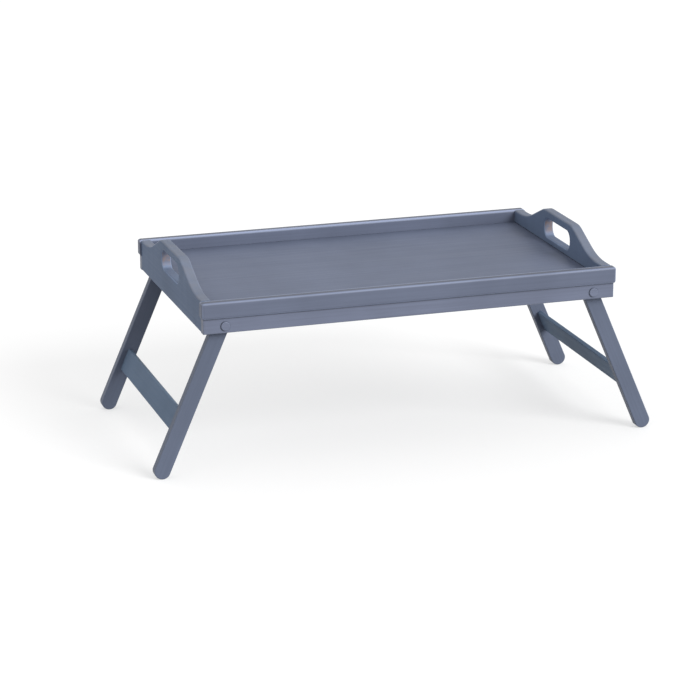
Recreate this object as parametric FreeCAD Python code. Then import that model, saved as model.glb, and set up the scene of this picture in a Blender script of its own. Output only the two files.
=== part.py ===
import FreeCAD, Part
import math
import os

# Bed tray table: a rectangular wooden tray with raised handle ends on two folding leg frames.
# Millimetres, +Z up. The origin is on the floor under the middle of the tray.
# X runs along the tray (left is -X), Y runs across it (front is -Y).

# Tray frame
rail_length = 496.5  # upper rails, end to end
tray_depth = 300.0  # over the outer faces of the two upper rails
rail_height = 19.4
rail_thickness = 12.5
rail_arris = 3.0  # rounding along the rails and round their ends
apron_height = 17.2
apron_set_in = 2.4  # the lower band lies this far behind the rail's face
apron_arris = 1.5
end_set_in = 2.0  # the end board lies this far behind the rail's end
end_thickness = 12.0

# Handles in the end boards
handle_rise = 25.0  # top of the handle over the top of the rails
handle_level_run = 16.0  # level stretch between the rail and the handle's sweep
handle_slope = 24.0  # degrees, straight run between the two curves
shoulder_radius = 32.0  # convex curve beside the straight top
sweep_radius = 102.0  # concave curve that runs out on the level of the rails
handle_arris = 2.0
slot_past_top = 2.9  # the slot runs this far past each end of the straight top
slot_height = 23.0
slot_corner = 10.5
slot_arris = 2.0
grip_height = 10.0  # wood left over the slot

# Tray panel, held all round in a groove
panel_thickness = 3.0
groove_depth = 5.0
groove_lift = 1.4  # wood of the rail under the groove
groove_gap = 0.3  # room for the panel to swell, at each edge

# Leg frames
leg_reach = 182.0  # pivot axis to the centre of the rounded foot
leg_width = 18.5
leg_thickness = 11.0
leg_splay = 23.38  # degrees from upright
leg_arris = 1.0
leg_top_gap = 1.29  # rounded leg top to the underside of the panel
foot_ease = 0.15  # the foot's curve is this much flatter than a half round
side_gap = 1.0  # apron to leg, filled by the washer
stop_gap = 0.3  # leg to the end board's lower edge when it stands open

# Crossbar between the two legs of a frame, in the middle of their width
crossbar_height = 27.0
crossbar_thickness = 5.5
crossbar_drop = 125.5  # pivot axis to the middle of the crossbar
crossbar_tenon = 4.0  # length housed in each leg
crossbar_arris = 1.0

# Pivots
pin_radius = 3.0
pin_running_gap = 0.05  # pin to the bore in the leg
pin_end_gap = 1.0  # pin's inner end to the leg's inner face
pin_chamfer = 0.5
plug_radius = 5.2
plug_depth = 3.0  # housed in the apron
plug_stand = 1.2  # button face over the apron's face
plug_ring_gap = 0.25
plug_edge_round = 0.9
washer_radius = 7.0
washer_hole_gap = 0.2
washer_running_gap = 0.2

# Dowels that join the rails and aprons to the end boards
dowel_radius = 3.0
dowel_side_depth = 6.0  # hole in the rail or apron
dowel_end_depth = 18.0  # hole in the end board
dowel_end_gap = 0.5  # room for glue at each end of a dowel
glued_gap = 0.02  # round pieces in their own holes

# Working values that are no size of the table
cut_extra = 1.0  # cutters run this far past the face they enter
same_place = 0.001  # coordinates this close are the same

# Levels and places that follow from the sizes above
foot_radius = leg_width / 2 + foot_ease
pivot_z = foot_radius + leg_reach * math.cos(math.radians(leg_splay))
panel_bottom = pivot_z + leg_width / 2 + leg_top_gap
panel_top = panel_bottom + panel_thickness
step_z = panel_bottom - groove_lift  # where the rail stands on the apron
rail_top = step_z + rail_height
handle_top = rail_top + handle_rise
slot_top = handle_top - grip_height
slot_bottom = slot_top - slot_height
apron_bottom = step_z - apron_height

rail_outer_y = tray_depth / 2
side_inner_y = rail_outer_y - rail_thickness
apron_outer_y = rail_outer_y - apron_set_in
leg_outer_y = side_inner_y - side_gap
leg_inner_y = leg_outer_y - leg_thickness
end_outer_x = rail_length / 2 - end_set_in
end_inner_x = end_outer_x - end_thickness
end_middle_x = (end_outer_x + end_inner_x) / 2
groove_x = end_inner_x + groove_depth
groove_y = side_inner_y + groove_depth
counterbore_floor_y = apron_outer_y - plug_depth

# The handle is laid out inwards from the rail: sweep, slope, shoulder, straight top
handle_turn = math.radians(handle_slope)
curve_sine = math.sin(handle_turn)
curve_drop = 1 - math.cos(handle_turn)
sweep_y = side_inner_y - handle_level_run
slope_end_y = sweep_y - sweep_radius * curve_sine
slope_end_z = rail_top + sweep_radius * curve_drop
slope_start_z = handle_top - shoulder_radius * curve_drop
slope_start_y = slope_end_y - (slope_start_z - slope_end_z) / math.tan(handle_turn)
shoulder_y = slope_start_y - shoulder_radius * curve_sine
half_slot = shoulder_y + slot_past_top

# The open leg leans on the rounded lower inside edge of the end board
stop_centre_x = end_inner_x + apron_arris
stop_centre_z = apron_bottom + apron_arris
splay_cos = math.cos(math.radians(leg_splay))
splay_sin = math.sin(math.radians(leg_splay))
stop_distance = apron_arris + stop_gap + leg_width / 2
pivot_x = stop_centre_x - (stop_distance + (pivot_z - stop_centre_z) * splay_sin) / splay_cos

end_names = {-1: "left", 1: "right"}
side_names = {-1: "front", 1: "back"}


def vec(x, y, z):
    return FreeCAD.Vector(x, y, z)


def block(x_low, x_high, y_low, y_high, z_low, z_high):
    corner = vec(x_low, y_low, z_low)
    return Part.makeBox(x_high - x_low, y_high - y_low, z_high - z_low, corner)


def y_rod(radius, x, z, y_from, y_to):
    direction = math.copysign(1.0, y_to - y_from)
    return Part.makeCylinder(radius, abs(y_to - y_from), vec(x, y_from, z), vec(0, direction, 0))


def edges_where(shape, test):
    return [edge for edge in shape.Edges if test(edge.BoundBox)]


def near(first, second):
    return abs(first - second) < same_place


def mirror_front_to_back(shape):
    return shape.mirror(vec(0, 0, 0), vec(0, 1, 0))


def mirror_left_to_right(shape):
    return shape.mirror(vec(0, 0, 0), vec(1, 0, 0))


def dowel_places():
    # Height of each dowel at a corner: one in the rail, one in the apron
    return [step_z + rail_height / 2, step_z - apron_height / 2]


def side_dowel_holes(z):
    radius = dowel_radius + glued_gap
    mouth_y = side_inner_y - cut_extra
    tip_y = side_inner_y + dowel_side_depth
    left = y_rod(radius, -end_middle_x, z, mouth_y, tip_y)
    right = y_rod(radius, end_middle_x, z, mouth_y, tip_y)
    return left.fuse(right)


def back_rail():
    half = rail_length / 2
    body = block(-half, half, side_inner_y, rail_outer_y, step_z, rail_top)

    def shows(box):
        on_outer_face = near(box.YMin, rail_outer_y) and near(box.YMax, rail_outer_y)
        on_top = near(box.ZMin, rail_top) and near(box.ZMax, rail_top)
        crosses_end = near(box.XMin, box.XMax) and box.YLength > rail_thickness / 2
        return on_outer_face or on_top or crosses_end

    body = body.makeFillet(rail_arris, edges_where(body, shows))
    start_y = side_inner_y - cut_extra
    groove = block(-groove_x, groove_x, start_y, groove_y, panel_bottom, panel_top)
    body = body.cut(groove)
    return body.cut(side_dowel_holes(dowel_places()[0]))


def back_apron():
    body = block(-end_outer_x, end_outer_x, side_inner_y, apron_outer_y, apron_bottom, step_z)

    def shows(box):
        on_outer_face = near(box.YMin, apron_outer_y) and near(box.YMax, apron_outer_y)
        return on_outer_face and not near(box.ZMin, step_z)

    body = body.makeFillet(apron_arris, edges_where(body, shows))
    body = body.cut(side_dowel_holes(dowel_places()[1]))
    for end in end_names:
        x = end * pivot_x
        bore_start = side_inner_y - cut_extra
        bore = y_rod(pin_radius + glued_gap, x, pivot_z, bore_start, counterbore_floor_y)
        recess_end = apron_outer_y + cut_extra
        recess_radius = plug_radius + plug_ring_gap
        recess = y_rod(recess_radius, x, pivot_z, counterbore_floor_y, recess_end)
        body = body.cut(bore.fuse(recess))
    return body


def arc_edge(centre_y, centre_z, radius, start_degrees, end_degrees):
    # An arc on the inner face of the right end board
    points = []
    for share in (0.0, 0.5, 1.0):
        angle = math.radians(start_degrees + share * (end_degrees - start_degrees))
        y = centre_y + radius * math.cos(angle)
        z = centre_z + radius * math.sin(angle)
        points.append(vec(end_inner_x, y, z))
    return Part.Arc(points[0], points[1], points[2]).toShape()


def line_edge(start_y, start_z, end_y, end_z):
    start = vec(end_inner_x, start_y, start_z)
    return Part.LineSegment(start, vec(end_inner_x, end_y, end_z)).toShape()


def handle_half_outline():
    # From the end of the straight top out to +Y: shoulder, slope, sweep and level run
    shoulder_z = handle_top - shoulder_radius
    sweep_z = rail_top + sweep_radius
    shoulder = arc_edge(shoulder_y, shoulder_z, shoulder_radius, 90, 90 - handle_slope)
    slope = line_edge(slope_start_y, slope_start_z, slope_end_y, slope_end_z)
    sweep = arc_edge(sweep_y, sweep_z, sweep_radius, 270 - handle_slope, 270)
    level = line_edge(sweep_y, rail_top, side_inner_y, rail_top)
    return [shoulder, slope, sweep, level]


def end_outline_face():
    half = handle_half_outline()
    mirrored = [mirror_front_to_back(edge) for edge in half]
    top = line_edge(-shoulder_y, handle_top, shoulder_y, handle_top)
    back = line_edge(side_inner_y, rail_top, side_inner_y, apron_bottom)
    bottom = line_edge(side_inner_y, apron_bottom, -side_inner_y, apron_bottom)
    front = line_edge(-side_inner_y, apron_bottom, -side_inner_y, rail_top)
    edges = Part.__sortEdges__([top, back, bottom, front] + half + mirrored)
    return Part.Face(Part.Wire(edges))


def handle_slot():
    low_x = end_inner_x - cut_extra
    high_x = end_outer_x + cut_extra
    slot = block(low_x, high_x, -half_slot, half_slot, slot_bottom, slot_top)

    def corner(box):
        return box.XLength > end_thickness

    return slot.makeFillet(slot_corner, edges_where(slot, corner))


def end_dowel_holes():
    radius = dowel_radius + glued_gap
    holes = []
    for side in side_names:
        for z in dowel_places():
            mouth_y = side * (side_inner_y + cut_extra)
            tip_y = side * (side_inner_y - dowel_end_depth)
            holes.append(y_rod(radius, end_middle_x, z, mouth_y, tip_y))
    return holes[0].multiFuse(holes[1:])


def right_end_board():
    board = end_outline_face().extrude(vec(end_thickness, 0, 0))

    def top_line(box):
        upright = near(box.YMin, box.YMax)
        above_rails = box.ZMin > rail_top - same_place
        return near(box.XMin, box.XMax) and above_rails and not upright

    def bottom_line(box):
        return near(box.ZMax, apron_bottom) and box.YLength > side_inner_y

    def slot_line(box):
        inside_y = box.YMin > -half_slot - same_place and box.YMax < half_slot + same_place
        inside_z = box.ZMin > slot_bottom - same_place and box.ZMax < slot_top + same_place
        return near(box.XMin, box.XMax) and inside_y and inside_z

    board = board.makeFillet(handle_arris, edges_where(board, top_line))
    board = board.makeFillet(apron_arris, edges_where(board, bottom_line))
    board = board.cut(handle_slot())
    board = board.makeFillet(slot_arris, edges_where(board, slot_line))
    half_y = side_inner_y + cut_extra
    groove = block(end_inner_x - cut_extra, groove_x, -half_y, half_y, panel_bottom, panel_top)
    board = board.cut(groove)
    return board.cut(end_dowel_holes())


def tray_panel():
    half_x = groove_x - groove_gap
    half_y = groove_y - groove_gap
    return block(-half_x, half_x, -half_y, half_y, panel_bottom, panel_top)


def corner_dowels(end, side):
    inner_y = side * (side_inner_y - dowel_end_depth + dowel_end_gap)
    outer_y = side * (side_inner_y + dowel_side_depth - dowel_end_gap)
    x = end * end_middle_x
    rods = [y_rod(dowel_radius, x, z, inner_y, outer_y) for z in dowel_places()]
    return Part.makeCompound(rods)


def pivot_pin(end, side):
    inner_y = leg_inner_y + pin_end_gap
    rod = y_rod(pin_radius, end * pivot_x, pivot_z, inner_y, counterbore_floor_y)

    def rim(box):
        return near(box.YMin, box.YMax)

    rod = rod.makeChamfer(pin_chamfer, edges_where(rod, rim))
    return rod if side > 0 else mirror_front_to_back(rod)


def pivot_plug(end, side):
    outer_y = apron_outer_y + plug_stand
    plug = y_rod(plug_radius, end * pivot_x, pivot_z, counterbore_floor_y, outer_y)

    def front_rim(box):
        return near(box.YMin, outer_y) and near(box.YMax, outer_y)

    plug = plug.makeFillet(plug_edge_round, edges_where(plug, front_rim))
    return plug if side > 0 else mirror_front_to_back(plug)


def pivot_washer(end, side):
    x = end * pivot_x
    inner_y = side_inner_y - side_gap + washer_running_gap
    ring = y_rod(washer_radius, x, pivot_z, side_inner_y, inner_y)
    hole_radius = pin_radius + washer_hole_gap
    hole = y_rod(hole_radius, x, pivot_z, side_inner_y + cut_extra, inner_y - cut_extra)
    ring = ring.cut(hole)
    return ring if side > 0 else mirror_front_to_back(ring)


def stand_in_place(shape, end):
    # Pieces of a leg frame are drawn hanging straight down from the pivot axis at the origin
    placed = shape.copy()
    placed.rotate(vec(0, 0, 0), vec(0, 1, 0), -end * leg_splay)
    placed.translate(vec(end * pivot_x, 0, pivot_z))
    return placed


def hanging_crossbar():
    half_y = leg_inner_y + crossbar_tenon
    half_x = crossbar_thickness / 2
    low_z = -crossbar_drop - crossbar_height / 2
    bar = block(-half_x, half_x, -half_y, half_y, low_z, low_z + crossbar_height)

    def long_edge(box):
        return box.YLength > half_y

    return bar.makeFillet(crossbar_arris, edges_where(bar, long_edge))


def hanging_back_leg():
    half = leg_width / 2
    shoulder_z = -leg_reach - math.sqrt(foot_radius ** 2 - half ** 2)
    foot_z = -leg_reach - foot_radius
    y = leg_inner_y
    top = Part.Arc(vec(half, y, 0), vec(0, y, half), vec(-half, y, 0)).toShape()
    left = Part.LineSegment(vec(-half, y, 0), vec(-half, y, shoulder_z)).toShape()
    foot_points = [vec(-half, y, shoulder_z), vec(0, y, foot_z), vec(half, y, shoulder_z)]
    foot = Part.Arc(foot_points[0], foot_points[1], foot_points[2]).toShape()
    right = Part.LineSegment(vec(half, y, shoulder_z), vec(half, y, 0)).toShape()
    leg = Part.Face(Part.Wire([top, left, foot, right])).extrude(vec(0, leg_thickness, 0))

    def outline(box):
        return near(box.YMin, box.YMax)

    leg = leg.makeFillet(leg_arris, edges_where(leg, outline))
    bore_start = leg_inner_y - cut_extra
    bore_end = leg_outer_y + cut_extra
    leg = leg.cut(y_rod(pin_radius + pin_running_gap, 0, 0, bore_start, bore_end))
    return leg.cut(hanging_crossbar())


def save(shape, name):
    solids = [solid.removeSplitter() for solid in shape.Solids]
    result = solids[0] if len(solids) == 1 else Part.makeCompound(solids)
    if not result.isValid():
        raise ValueError(name + " is not a valid solid")
    result.exportStep("parts/" + name + ".step")
    print(name, len(solids), "solid", round(result.Volume / 1000, 2), "cm3")


def save_tray():
    save(back_rail(), "back_rail")
    save(mirror_front_to_back(back_rail()), "front_rail")
    save(back_apron(), "back_apron")
    save(mirror_front_to_back(back_apron()), "front_apron")
    save(right_end_board(), "right_end_board")
    save(mirror_left_to_right(right_end_board()), "left_end_board")
    save(tray_panel(), "tray_panel")


def save_corner(end, side):
    corner = side_names[side] + "_" + end_names[end]
    save(corner_dowels(end, side), corner + "_corner_dowels")
    save(pivot_pin(end, side), corner + "_pivot_pin")
    save(pivot_plug(end, side), corner + "_pivot_plug")
    save(pivot_washer(end, side), corner + "_pivot_washer")
    leg = hanging_back_leg() if side > 0 else mirror_front_to_back(hanging_back_leg())
    save(stand_in_place(leg, end), corner + "_leg")


os.makedirs("parts", exist_ok=True)
save_tray()
for end in end_names:
    save(stand_in_place(hanging_crossbar(), end), end_names[end] + "_crossbar")
    for side in side_names:
        save_corner(end, side)
print("pivot x", round(pivot_x, 3), "z", round(pivot_z, 3), "step", round(step_z, 3))
print("handle top", round(handle_top, 3), "fold angle", 90 + leg_splay)
foot_x = pivot_x + leg_reach * splay_sin
print("overall length", round(2 * (foot_x + foot_radius), 3))
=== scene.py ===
import math

import bpy
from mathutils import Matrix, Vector


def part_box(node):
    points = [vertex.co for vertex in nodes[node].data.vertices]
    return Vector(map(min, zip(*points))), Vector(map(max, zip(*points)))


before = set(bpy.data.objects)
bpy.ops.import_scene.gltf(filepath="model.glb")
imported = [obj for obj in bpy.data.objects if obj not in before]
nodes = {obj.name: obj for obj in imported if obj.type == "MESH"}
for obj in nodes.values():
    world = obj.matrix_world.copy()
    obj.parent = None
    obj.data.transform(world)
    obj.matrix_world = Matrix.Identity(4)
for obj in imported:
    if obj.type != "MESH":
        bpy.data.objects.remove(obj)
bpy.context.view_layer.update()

corners = [side + "_" + end for end in ("left", "right") for side in ("front", "back")]
print("frame loaded,", len(nodes), "nodes")

# where things meet, read off the frame in metres
railLow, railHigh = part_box("back_rail")
boardLow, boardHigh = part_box("right_end_board")
panelLow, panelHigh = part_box("tray_panel")
apronLow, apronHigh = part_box("back_apron")
plugLow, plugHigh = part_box("back_right_pivot_plug")
sideInnerY = railLow.y
endInnerX = boardLow.x
stepZ = railLow.z
panelTop = panelHigh.z
apronOuterY = apronHigh.y
plugX = (plugLow.x + plugHigh.x) / 2
plugZ = (plugLow.z + plugHigh.z) / 2
plugRadius = (plugHigh.x - plugLow.x) / 2


def newNode(tree, kind, **settings):
    node = tree.nodes.new(kind)
    for name, value in settings.items():
        setattr(node, name, value)
    return node


def feed(tree, socket, value):
    # a socket takes another node's output, a number, or a colour
    if isinstance(value, bpy.types.NodeSocket):
        tree.links.new(value, socket)
    elif isinstance(value, tuple) and socket.type == "RGBA":
        socket.default_value = (*value, 1.0)
    else:
        socket.default_value = value


def sums(tree, operation, first, second=0.0):
    node = newNode(tree, "ShaderNodeMath", operation=operation)
    feed(tree, node.inputs[0], first)
    feed(tree, node.inputs[1], second)
    return node.outputs[0]


def ramp(tree, source, low, high, outLow=0.0, outHigh=1.0):
    node = newNode(tree, "ShaderNodeMapRange", interpolation_type="SMOOTHSTEP")
    for name, value in (("Value", source), ("From Min", low), ("From Max", high),
                        ("To Min", outLow), ("To Max", outHigh)):
        feed(tree, node.inputs[name], value)
    return node.outputs["Result"]


def blendColour(tree, amount, first, second):
    node = newNode(tree, "ShaderNodeMix", data_type="RGBA")
    for socket, value in ((node.inputs[0], amount), (node.inputs[6], first), (node.inputs[7], second)):
        feed(tree, socket, value)
    return node.outputs[2]


def mixShaders(tree, amount, first, second):
    node = newNode(tree, "ShaderNodeMixShader")
    for socket, value in zip(node.inputs, (amount, first, second)):
        feed(tree, socket, value)
    return node.outputs[0]


def noise(tree, vector, scale, detail, roughness=0.5, distortion=0.0):
    node = newNode(tree, "ShaderNodeTexNoise")
    for name, value in (("Vector", vector), ("Scale", scale), ("Detail", detail),
                        ("Roughness", roughness), ("Distortion", distortion)):
        feed(tree, node.inputs[name], value)
    return node.outputs["Fac"]


def mapped(tree, vector, kind="POINT", turn=0.0, scale=(1.0, 1.0, 1.0)):
    node = newNode(tree, "ShaderNodeMapping", vector_type=kind)
    feed(tree, node.inputs["Vector"], vector)
    node.inputs["Rotation"].default_value = (0.0, turn, 0.0)
    node.inputs["Scale"].default_value = scale
    return node.outputs["Vector"]


def split(tree, vector):
    node = newNode(tree, "ShaderNodeSeparateXYZ")
    feed(tree, node.inputs[0], vector)
    return node.outputs


def ownSpot(tree):
    return newNode(tree, "ShaderNodeTexCoord").outputs["Object"]


def addRelief(tree, shader, strength, distance, height):
    bump = newNode(tree, "ShaderNodeBump")
    for name, value in (("Strength", strength), ("Distance", distance), ("Height", height)):
        feed(tree, bump.inputs[name], value)
    feed(tree, shader.inputs["Normal"], bump.outputs["Normal"])


def sized(tree, value):
    return sums(tree, "ABSOLUTE", value)


def under(tree, value, limit):
    # 1 where the value is below the limit, else 0
    return sums(tree, "LESS_THAN", value, limit)


def bothOf(tree, first, second):
    return sums(tree, "MULTIPLY", first, second)


def eitherOf(tree, first, second):
    return sums(tree, "MAXIMUM", first, second)


def lineAt(tree, value, centre, halfWidth, strength=1.0):
    # full strength on the line, fading to 0 at halfWidth either side
    away = sized(tree, sums(tree, "SUBTRACT", value, centre))
    return ramp(tree, away, 0.0, halfWidth, strength, 0.0)


def fromPivot(tree, place):
    # distance from the nearer pivot axis, the same at both ends
    sideways = sums(tree, "SUBTRACT", sized(tree, place[0]), plugX)
    upward = sums(tree, "SUBTRACT", place[2], plugZ)
    square = sums(tree, "ADD", bothOf(tree, sideways, sideways), bothOf(tree, upward, upward))
    return sums(tree, "SQRT", square)


def times(colour, share):
    return tuple(min(channel * share, 1.0) for channel in colour)


# satin paint brushed over beech: what a piece can have of its own
paint = {
    "colour": (0.130, 0.151, 0.213),
    "shade": 0.92,  # wide clouding runs from shade to tint times the colour
    "tint": 1.06,
    "grain": "x",  # the way the wood runs
    "streak": 0.34,  # how far the brushed streaks darken
    "pore": 0.30,
    "edge": 0.55,  # how far rounded edges lighten: partly worn paint, partly a painted highlight
    "edgeLift": 1.7,
    "rough": 0.42,
    "specular": 0.3,
    "relief": 0.5,
    "turn": 0.0,  # lean of the grain about Y
}
# how every coat is laid: spans are where a pattern starts and is full
coat = {
    "cloudScale": 9.0, "cloudDetail": 3.0, "cloudRoughness": 0.55, "cloudSpan": (0.3, 0.7),
    "streakDetail": 5.0, "streakRoughness": 0.62, "streakWarp": 0.25, "streakSpan": (0.34, 0.68),
    "streakShade": 0.74, "streakHeight": 0.9,
    "poreDetail": 3.0, "poreRoughness": 0.7, "poreSpan": (0.62, 0.74), "poreShade": 0.60,
    "poreDepthSpan": (0.60, 0.75), "poreDepth": 0.6,
    "peelScale": 850.0, "peelDetail": 2.0, "peelHeight": 0.22,
    "roundSpan": (0.78, 0.985), "roundCloudSpan": (0.25, 0.6), "roundCloudLeast": 0.5,
    "glossSpan": (0.3, 0.7), "glossUp": 0.05, "glossDown": 0.06, "edgeGloss": 0.22,
    "reliefDepth": 0.00012,
}
jointDarkAndShade = (0.030, 0.036, 0.052)  # paint and dust gathered in a joint, and the colour of painted shade in creases, under overhangs and beside the plugs
alongGrain = {"x": (6.0, 430.0, 430.0), "y": (430.0, 6.0, 430.0), "z": (430.0, 430.0, 6.0)}
alongPores = {"x": (30.0, 1300.0, 1300.0), "y": (1300.0, 30.0, 1300.0), "z": (1300.0, 1300.0, 30.0)}


def paintedWood(look, marks=None):
    material = bpy.data.materials.new(look["name"])
    material.use_nodes = True
    tree = material.node_tree
    shader = tree.nodes["Principled BSDF"]
    coords = newNode(tree, "ShaderNodeTexCoord")
    spot = coords.outputs["Object"]
    place = split(tree, spot)
    if look["turn"]:
        spot = mapped(tree, spot, turn=look["turn"])
    facing = split(tree, mapped(tree, coords.outputs["Normal"], kind="NORMAL", turn=look["turn"]))
    streak = noise(tree, mapped(tree, spot, scale=alongGrain[look["grain"]]), 1.0,
                   coat["streakDetail"], coat["streakRoughness"], coat["streakWarp"])
    pore = noise(tree, mapped(tree, spot, scale=alongPores[look["grain"]]), 1.0,
                 coat["poreDetail"], coat["poreRoughness"])
    cloud = noise(tree, spot, coat["cloudScale"], coat["cloudDetail"], coat["cloudRoughness"])
    peel = noise(tree, spot, coat["peelScale"], coat["peelDetail"])
    base = look["colour"]

    # colour: clouding, then brushed streaks, then the pores showing through
    colour = blendColour(tree, ramp(tree, cloud, *coat["cloudSpan"]),
                         times(base, look["shade"]), times(base, look["tint"]))
    colour = blendColour(tree, ramp(tree, streak, *coat["streakSpan"], 0.0, look["streak"]),
                         colour, times(base, coat["streakShade"]))
    colour = blendColour(tree, ramp(tree, pore, *coat["poreSpan"], 0.0, look["pore"]),
                         colour, times(base, coat["poreShade"]))

    # where a face rounds over it is lighter: partly thin, rubbed paint and partly a painted highlight
    flattest = eitherOf(tree, sized(tree, facing[0]), sized(tree, facing[1]))
    flattest = eitherOf(tree, flattest, sized(tree, facing[2]))
    rounding = ramp(tree, flattest, *coat["roundSpan"], look["edge"], 0.0)
    patchy = ramp(tree, cloud, *coat["roundCloudSpan"], coat["roundCloudLeast"], 1.0)
    rounding = bothOf(tree, rounding, patchy)
    colour = blendColour(tree, rounding, colour, times(base, look["edgeLift"]))
    if marks:
        colour = marks(tree, place, facing, colour)
    feed(tree, shader.inputs["Base Color"], colour)

    # gloss: the streaks break up the sheen, rubbed edges are smoother
    rough = ramp(tree, streak, *coat["glossSpan"], look["rough"] - coat["glossUp"], look["rough"] + coat["glossDown"])
    rough = sums(tree, "SUBTRACT", rough, bothOf(tree, rounding, coat["edgeGloss"]))
    feed(tree, shader.inputs["Roughness"], rough)
    shader.inputs["Specular IOR Level"].default_value = look["specular"]

    # relief: grain under the paint, open pores, and the fine peel of the coat
    height = sums(tree, "ADD", bothOf(tree, streak, coat["streakHeight"]), bothOf(tree, peel, coat["peelHeight"]))
    height = sums(tree, "SUBTRACT", height, ramp(tree, pore, *coat["poreDepthSpan"], 0.0, coat["poreDepth"]))
    addRelief(tree, shader, look["relief"], coat["reliefDepth"], height)
    return material


def finish(material, names):
    for name in names:
        piece = nodes[name]
        piece.data.materials.clear()
        piece.data.materials.append(material)


# rails: the upper battens, brushed along their length
rails = {**paint, "name": "railPaint", "colour": (0.130, 0.150, 0.212), "streak": 0.26, "specular": 0.16,
         "edge": 0.85, "edgeLift": 1.8, "upSpan": (0.3, 0.9),
         "highlightFull": 0.0015, "highlightWidth": 0.0046, "innerHighlight": 0.95, "highlightLift": 2.3,
         "flatTopShadeStart": (0.0042, 0.0057), "flatTopShadeEnd": (0.0092, 0.0102), "flatTopShade": 0.5,
         "seamWidth": 0.0006, "seam": 0.7, "seamFade": 0.001, "seamUpSpan": (0.5, 0.8),
         "footWidth": 0.0009, "foot": 0.4}


def railMarks(tree, place, facing, colour):
    across = sized(tree, place[1])
    inward = sums(tree, "SUBTRACT", across, sideInnerY)
    upward = ramp(tree, facing[2], *rails["upSpan"])
    # painted highlight: a lighter band along the inner edge of the top
    innerHighlight = ramp(tree, inward, rails["highlightWidth"], rails["highlightFull"], 0.0, rails["innerHighlight"])
    colour = blendColour(tree, bothOf(tree, innerHighlight, upward), colour, times(rails["colour"], rails["highlightLift"]))
    # painted shade: the middle of the flat top is darkened towards the joint colour
    flatTopShade = bothOf(tree, ramp(tree, inward, *rails["flatTopShadeStart"], 0.0, rails["flatTopShade"]),
                   ramp(tree, inward, *rails["flatTopShadeEnd"], 1.0, 0.0))
    colour = blendColour(tree, bothOf(tree, flatTopShade, upward), colour, jointDarkAndShade)
    # painted-over joint with the end board, on the top of each corner
    seam = lineAt(tree, across, sideInnerY, rails["seamWidth"], rails["seam"])
    seam = bothOf(tree, seam, ramp(tree, sized(tree, place[0]), endInnerX, endInnerX + rails["seamFade"]))
    seam = bothOf(tree, seam, ramp(tree, facing[2], *rails["seamUpSpan"]))
    # line of shade where the rail stands on the apron
    foot = lineAt(tree, place[2], stepZ, rails["footWidth"], rails["foot"])
    return blendColour(tree, eitherOf(tree, seam, foot), colour, jointDarkAndShade)


finish(paintedWood(rails, railMarks), ["front_rail", "back_rail"])
print("rails painted")

# aprons: the lower bands, coarser in the grain, with a faint dark ring and a painted shadow crescent beside each plug
aprons = {**paint, "name": "apronPaint", "colour": (0.148, 0.169, 0.240), "streak": 0.44, "relief": 0.62,
          "ringGap": 0.0003, "ringWidth": 0.0013, "ring": 0.95, "openSpan": (-0.75, 0.2), "openLeast": 0.08,
          "shadeWidth": 0.0020, "shadeDepth": 0.45}


def apronMarks(tree, place, facing, colour):
    ring = lineAt(tree, fromPivot(tree, place), plugRadius + aprons["ringGap"], aprons["ringWidth"], aprons["ring"])
    # painted shadow: the dark ring round each plug is full on its left side and fades to faint on the right, a
    # crescent
    beside = sums(tree, "SUBTRACT", place[0], bothOf(tree, sums(tree, "SIGN", place[0]), plugX))
    openFrom, openTo = (share * plugRadius for share in aprons["openSpan"])
    ring = bothOf(tree, ring, ramp(tree, beside, openFrom, openTo, 1.0, aprons["openLeast"]))
    # shade under the rail that overhangs the apron
    shade = ramp(tree, place[2], stepZ - aprons["shadeWidth"], stepZ, 0.0, aprons["shadeDepth"])
    return blendColour(tree, eitherOf(tree, ring, shade), colour, jointDarkAndShade)


finish(paintedWood(aprons, apronMarks), ["front_apron", "back_apron"])
print("aprons painted")

# pivot plugs: turned buttons, grain across the face, painted with the aprons
plugs = {**paint, "name": "plugPaint", "colour": (0.148, 0.169, 0.240), "tint": 1.10, "streak": 0.40,
         "edge": 0.4, "rimWidth": 0.0006, "rim": 0.15}


def plugMarks(tree, place, facing, colour):
    # painted shade along the rim where it drops into the apron
    rim = lineAt(tree, sized(tree, place[1]), apronOuterY, plugs["rimWidth"], plugs["rim"])
    return blendColour(tree, rim, colour, jointDarkAndShade)


finish(paintedWood(plugs, plugMarks), [corner + "_pivot_plug" for corner in corners])
print("plugs painted")

# end boards: smoothly filled, with faint upright bands and thin paint inside the finger slot
# their colour is bluer than the rails', standing in for the cool light on faces turned to the left: painted light
boards = {**paint, "name": "endPaint", "grain": "y", "colour": (0.148, 0.193, 0.286), "streak": 0.06,
          "pore": 0.06, "relief": 0.16, "specular": 0.03, "rough": 0.50, "edge": 0.75,
          "paleTopColour": (0.178, 0.194, 0.240), "paleTop": 0.9, "paleTopSpan": (0.15, 0.65), "paleTopScale": 60.0,
          "paleTopDetail": 3.0, "paleTopPatchSpan": (0.3, 0.6), "paleTopLeast": 0.7,
          "bandScale": (1.0, 62.0, 3.0), "bandDetail": 3.0, "bandRoughness": 0.6, "bandSpan": (0.40, 0.68),
          "band": 0.14, "bandShade": 0.66,
          "slotHalfLength": 0.0422, "slotMiddle": 0.2085, "slotHalfHeight": 0.0138, "wallSpan": (0.25, 0.7),
          "bareColour": (0.290, 0.215, 0.190), "bare": 0.70, "bareUpSpan": (0.3, 0.9), "sillBare": 0.12,
          "bareScale": 150.0, "bareDetail": 3.0, "bareSpan": (0.38, 0.62), "bareLeast": 0.35,
          "foot": 0.7, "footWidth": 0.0012, "footReach": 0.001}


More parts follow.
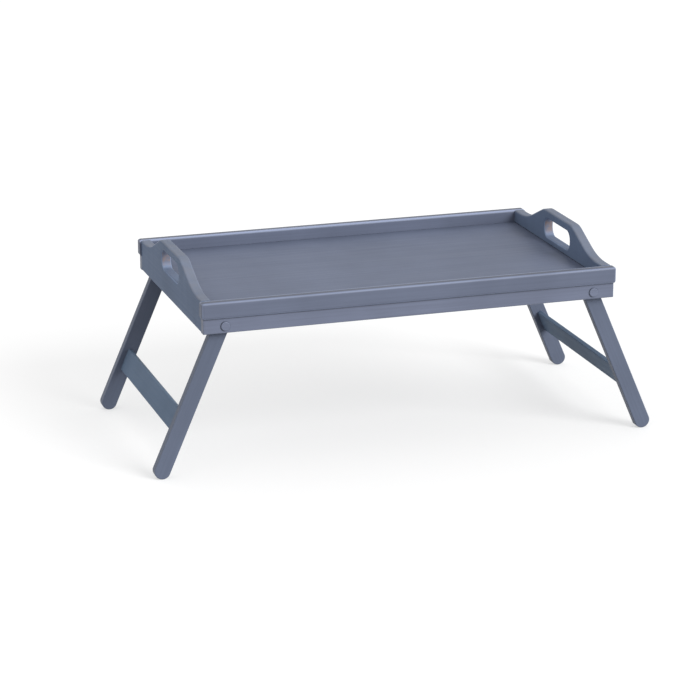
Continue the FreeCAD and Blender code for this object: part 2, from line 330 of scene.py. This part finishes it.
def boardMarks(tree, place, facing, colour):
    spot = ownSpot(tree)
    across = sized(tree, place[1])
    overSlot = under(tree, across, boards["slotHalfLength"])
    # painted light: the upward faces of the board and its handle are paler and greyer than its bluer sides, in
    # patches, unlike the slot's sill
    paleTopNoise = noise(tree, spot, boards["paleTopScale"], boards["paleTopDetail"])
    paleTop = bothOf(tree, ramp(tree, facing[2], *boards["paleTopSpan"], 0.0, boards["paleTop"]),
                  ramp(tree, paleTopNoise, *boards["paleTopPatchSpan"], boards["paleTopLeast"], 1.0))
    sill = bothOf(tree, overSlot, under(tree, place[2], boards["slotMiddle"] + boards["slotHalfHeight"]))
    paleTop = bothOf(tree, paleTop, sums(tree, "SUBTRACT", 1.0, sill))
    colour = blendColour(tree, paleTop, colour, boards["paleTopColour"])
    # faint upright bands
    bands = noise(tree, mapped(tree, spot, scale=boards["bandScale"]), 1.0,
                  boards["bandDetail"], boards["bandRoughness"])
    colour = blendColour(tree, ramp(tree, bands, *boards["bandSpan"], 0.0, boards["band"]), colour,
                         times(boards["colour"], boards["bandShade"]))
    # the slot's walls: near the slot, and not facing along X
    wall = bothOf(tree, ramp(tree, sized(tree, facing[0]), *boards["wallSpan"], 1.0, 0.0), overSlot)
    nearSlot = sized(tree, sums(tree, "SUBTRACT", place[2], boards["slotMiddle"]))
    wall = bothOf(tree, wall, under(tree, nearSlot, boards["slotHalfHeight"]))
    # the upright walls are rubbed through in patches, the sill stays painted
    upright = ramp(tree, sized(tree, facing[2]), *boards["bareUpSpan"], 1.0, boards["sillBare"])
    patches = ramp(tree, noise(tree, spot, boards["bareScale"], boards["bareDetail"]),
                   *boards["bareSpan"], boards["bareLeast"], 1.0)
    bare = bothOf(tree, bothOf(tree, wall, upright), bothOf(tree, patches, boards["bare"]))
    colour = blendColour(tree, bare, colour, boards["bareColour"])
    # line of shade where the panel enters the board
    inner = under(tree, sized(tree, place[0]), endInnerX + boards["footReach"])
    foot = bothOf(tree, lineAt(tree, place[2], panelTop, boards["footWidth"], boards["foot"]), inner)
    return blendColour(tree, foot, colour, jointDarkAndShade)


finish(paintedWood(boards, boardMarks), ["left_end_board", "right_end_board"])
print("end boards painted")

# tray panel: a smooth sheet, shaded where its edges enter the groove
panel = {**paint, "name": "panelPaint", "colour": (0.126, 0.148, 0.213), "streak": 0.03, "pore": 0.03,
         "relief": 0.06, "rough": 0.50, "specular": 0.12, "edge": 0.0,
         "lineWidth": 0.0014, "line": 0.95, "softWidth": 0.026, "soft": 0.16}


def panelMarks(tree, place, facing, colour):
    fromSide = sums(tree, "SUBTRACT", sideInnerY, sized(tree, place[1]))
    fromEnd = sums(tree, "SUBTRACT", endInnerX, sized(tree, place[0]))
    nearest = sums(tree, "MINIMUM", fromSide, fromEnd)
    line = ramp(tree, nearest, 0.0, panel["lineWidth"], panel["line"], 0.0)
    soft = ramp(tree, nearest, 0.0, panel["softWidth"], panel["soft"], 0.0)
    return blendColour(tree, eitherOf(tree, line, soft), colour, jointDarkAndShade)


finish(paintedWood(panel, panelMarks), ["tray_panel"])
print("panel painted")

# leg frames: grain down each leg and along each crossbar; both ends lean by the same angle
legs = {**paint, "colour": (0.122, 0.144, 0.202), "streak": 0.24, "pore": 0.2, "relief": 0.35,
        "specular": 0.12, "edge": 0.3, "lean": math.radians(23.38)}
# the crossbars' bluer colour stands in for the cool light on faces turned to the left: painted light
crossbars = {**paint, "grain": "y", "colour": (0.137, 0.190, 0.275), "streak": 0.08, "pore": 0.06,
             "relief": 0.16, "specular": 0.02, "edge": 0.2}
for end, lean in (("left", -legs["lean"]), ("right", legs["lean"])):
    legPaint = paintedWood({**legs, "name": end + "LegPaint", "grain": "z", "turn": lean})
    finish(legPaint, ["front_" + end + "_leg", "back_" + end + "_leg"])
    finish(paintedWood({**crossbars, "name": end + "CrossbarPaint", "turn": lean}), [end + "_crossbar"])
print("leg frames painted")

# dowels: bare beech in the joints
dowels = {**paint, "name": "dowelWood", "grain": "y", "colour": (0.530, 0.360, 0.190), "streak": 0.5,
          "rough": 0.62, "specular": 0.35, "edge": 0.15}
finish(paintedWood(dowels), [corner + "_corner_dowels" for corner in corners])

# what the metal and the nylon share: fine marks round the axis, cloudy gloss
stock = {"detail": 3.0, "hazeSpan": (0.35, 0.68), "glossSpan": (0.3, 0.7), "glossUp": 0.07, "glossDown": 0.08,
         "relief": 0.4, "reliefDepth": 0.00004}


def plainStuff(look):
    material = bpy.data.materials.new(look["name"])
    material.use_nodes = True
    tree = material.node_tree
    shader = tree.nodes["Principled BSDF"]
    spot = ownSpot(tree)
    marks = noise(tree, mapped(tree, spot, scale=look["marks"]), 1.0, stock["detail"])
    haze = noise(tree, spot, look["haze"], stock["detail"])
    feed(tree, shader.inputs["Base Color"],
         blendColour(tree, ramp(tree, haze, *stock["hazeSpan"]), look["colour"], times(look["colour"], look["dull"])))
    feed(tree, shader.inputs["Roughness"],
         ramp(tree, marks, *stock["glossSpan"], look["rough"] - stock["glossUp"], look["rough"] + stock["glossDown"]))
    shader.inputs["Metallic"].default_value = look["metal"]
    addRelief(tree, shader, stock["relief"], stock["reliefDepth"], marks)
    return material


pins = {"name": "pinSteel", "colour": (0.56, 0.56, 0.57), "dull": 0.78, "rough": 0.32, "metal": 1.0,
        "marks": (400.0, 5200.0, 400.0), "haze": 700.0}
washers = {"name": "washerNylon", "colour": (0.70, 0.69, 0.65), "dull": 0.88, "rough": 0.52, "metal": 0.0,
           "marks": (2600.0, 2600.0, 2600.0), "haze": 260.0}
finish(plainStuff(pins), [corner + "_pivot_pin" for corner in corners])
finish(plainStuff(washers), [corner + "_pivot_washer" for corner in corners])
print("pivots and dowels finished")


def seenRays(tree):
    # 1 for what the camera, a reflection or clear material looks at
    rays = newNode(tree, "ShaderNodeLightPath").outputs
    seen = eitherOf(tree, rays["Is Camera Ray"], rays["Is Glossy Ray"])
    return eitherOf(tree, seen, rays["Is Transmission Ray"])


# white studio: paper floor that keeps a pale shadow, even sky, one soft key from the front right
studio = {"floorSize": 16.0, "floorDrop": 0.0002, "floorColour": (0.40, 0.40, 0.40), "floorGlow": 0.56,
          "white": (1.0, 1.0, 1.0), "sky": 0.80,
          "keyStrength": 2.4, "keyFrom": (0.26, -0.42, 0.26), "keySpread": math.radians(32)}

bpy.ops.object.select_all(action="DESELECT")
bpy.ops.mesh.primitive_plane_add(size=studio["floorSize"], location=(0.0, 0.0, -studio["floorDrop"]))
floor = bpy.context.object
floor.name = "studioFloor"
paper = bpy.data.materials.new("floorPaper")
paper.use_nodes = True
tree = paper.node_tree
paperShader = tree.nodes["Principled BSDF"]
paperShader.inputs["Roughness"].default_value = 1.0
paperShader.inputs["Specular IOR Level"].default_value = 0.0
seen = seenRays(tree)
feed(tree, paperShader.inputs["Base Color"], blendColour(tree, seen, studio["floorColour"], studio["white"]))
glow = newNode(tree, "ShaderNodeEmission")
topSide = mixShaders(tree, bothOf(tree, seen, studio["floorGlow"]), paperShader.outputs[0], glow.outputs[0])
# the paper has one side: from below it is clear, so the underside can be looked at
clear = newNode(tree, "ShaderNodeBsdfTransparent")
fromBelow = newNode(tree, "ShaderNodeNewGeometry").outputs["Backfacing"]
feed(tree, tree.nodes["Material Output"].inputs[0], mixShaders(tree, fromBelow, topSide, clear.outputs[0]))
floor.data.materials.append(paper)

world = bpy.data.worlds.new("whiteStudio")
bpy.context.scene.world = world
world.use_nodes = True
tree = world.node_tree
sky = tree.nodes["Background"]
feed(tree, sky.inputs["Color"], studio["white"])
feed(tree, sky.inputs["Strength"], ramp(tree, seenRays(tree), 0.0, 1.0, studio["sky"], 1.0))

keyLamp = bpy.data.lights.new("softKey", "SUN")
keyLamp.energy = studio["keyStrength"]
keyLamp.angle = studio["keySpread"]
key = bpy.data.objects.new("softKey", keyLamp)
bpy.context.scene.collection.objects.link(key)
key.rotation_mode = "QUATERNION"
key.rotation_quaternion = Vector(studio["keyFrom"]).to_track_quat("Z", "Y")
print("studio lit")

# the photograph's place and angle, in metres and degrees, for a frame 700 pixels wide
lens = {"place": (-0.972431, -2.900912, 1.030064), "azimuth": 18.04, "elevation": 17.175,
        "focalPixels": 2682.6, "framePixels": 700.0, "sensorWidth": 36.0, "farthest": 60.0}
eye = bpy.data.cameras.new("photoCamera")
eye.sensor_width = lens["sensorWidth"]
eye.lens = lens["focalPixels"] / lens["framePixels"] * lens["sensorWidth"]
eye.clip_end = lens["farthest"]
camera = bpy.data.objects.new("photoCamera", eye)
bpy.context.scene.collection.objects.link(camera)
turn = math.radians(lens["azimuth"])
tilt = math.radians(lens["elevation"])
ahead = Vector((math.sin(turn) * math.cos(tilt), math.cos(turn) * math.cos(tilt), -math.sin(tilt)))
camera.location = lens["place"]
camera.rotation_mode = "QUATERNION"
camera.rotation_quaternion = ahead.to_track_quat("-Z", "Y")
bpy.context.scene.camera = camera
bpy.context.scene.view_settings.view_transform = "Standard"
print("camera set")
